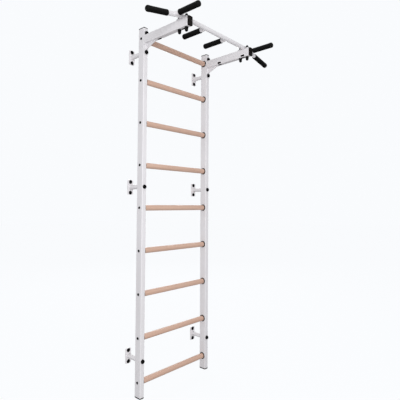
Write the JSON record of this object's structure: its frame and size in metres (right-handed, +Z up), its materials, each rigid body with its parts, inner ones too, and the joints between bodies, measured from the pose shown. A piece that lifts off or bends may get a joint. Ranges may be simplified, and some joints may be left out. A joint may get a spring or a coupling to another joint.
{
  "type": "swedish wall bars",
  "caption": "Wall-mounted steel ladder frame with round beech rungs, standoff wall brackets and a bolted multi-grip pull-up bar on two arms.",
  "frame": {"origin": "on the wall plane, at floor level, midway between the uprights", "axes": "+X to the part's right seen from the front, +Y into the wall, +Z up"},
  "size_m": [1.0702, 0.6185, 2.153],
  "materials": {
    "white_paint": "satin white powder coat on steel",
    "beech": "clear-lacquered beech",
    "cap_plastic": "matt grey-brown plastic",
    "plug_plastic": "matt near-black plastic",
    "grip_rubber": "fine-textured black rubber",
    "black_bolt": "black-coated steel"
  },
  "bodies": {
    "root": {"rung_1": "beech", "rung_2": "beech", "rung_3": "beech", "rung_4": "beech", "rung_5": "beech", "rung_6": "beech", "rung_7": "beech", "rung_8": "beech", "rung_9": "beech", "left_upright": "white_paint", "left_top_cap": "cap_plastic", "left_foot_cap": "cap_plastic", "left_low_bracket": "white_paint", "left_low_bracket_bolt": "black_bolt", "left_low_wall_bolt_upper": "black_bolt", "left_low_wall_bolt_lower": "black_bolt", "left_mid_bracket": "white_paint", "left_mid_bracket_bolt": "black_bolt", "left_mid_wall_bolt_upper": "black_bolt", "left_mid_wall_bolt_lower": "black_bolt", "left_top_bracket": "white_paint", "left_top_bracket_bolt": "black_bolt", "left_top_wall_bolt_upper": "black_bolt", "left_top_wall_bolt_lower": "black_bolt", "left_arm_bolt": "black_bolt", "left_arm": "white_paint", "left_arm_plug": "plug_plastic", "left_bar_bolt_front": "black_bolt", "left_bar_nut_front": "black_bolt", "left_bar_bolt_rear": "black_bolt", "left_bar_nut_rear": "black_bolt", "right_upright": "white_paint", "right_top_cap": "cap_plastic", "right_foot_cap": "cap_plastic", "right_low_bracket": "white_paint", "right_low_bracket_bolt": "black_bolt", "right_low_wall_bolt_upper": "black_bolt", "right_low_wall_bolt_lower": "black_bolt", "right_mid_bracket": "white_paint", "right_mid_bracket_bolt": "black_bolt", "right_mid_wall_bolt_upper": "black_bolt", "right_mid_wall_bolt_lower": "black_bolt", "right_top_bracket": "white_paint", "right_top_bracket_bolt": "black_bolt", "right_top_wall_bolt_upper": "black_bolt", "right_top_wall_bolt_lower": "black_bolt", "right_arm_bolt": "black_bolt", "right_arm": "white_paint", "right_arm_plug": "plug_plastic", "right_bar_bolt_front": "black_bolt", "right_bar_nut_front": "black_bolt", "right_bar_bolt_rear": "black_bolt", "right_bar_nut_rear": "black_bolt", "pull_up_bar": "white_paint", "left_front_grip": "grip_rubber", "left_rear_grip": "grip_rubber", "left_outer_grip": "grip_rubber", "right_front_grip": "grip_rubber", "right_rear_grip": "grip_rubber", "right_outer_grip": "grip_rubber"}
  },
  "joints": []
}
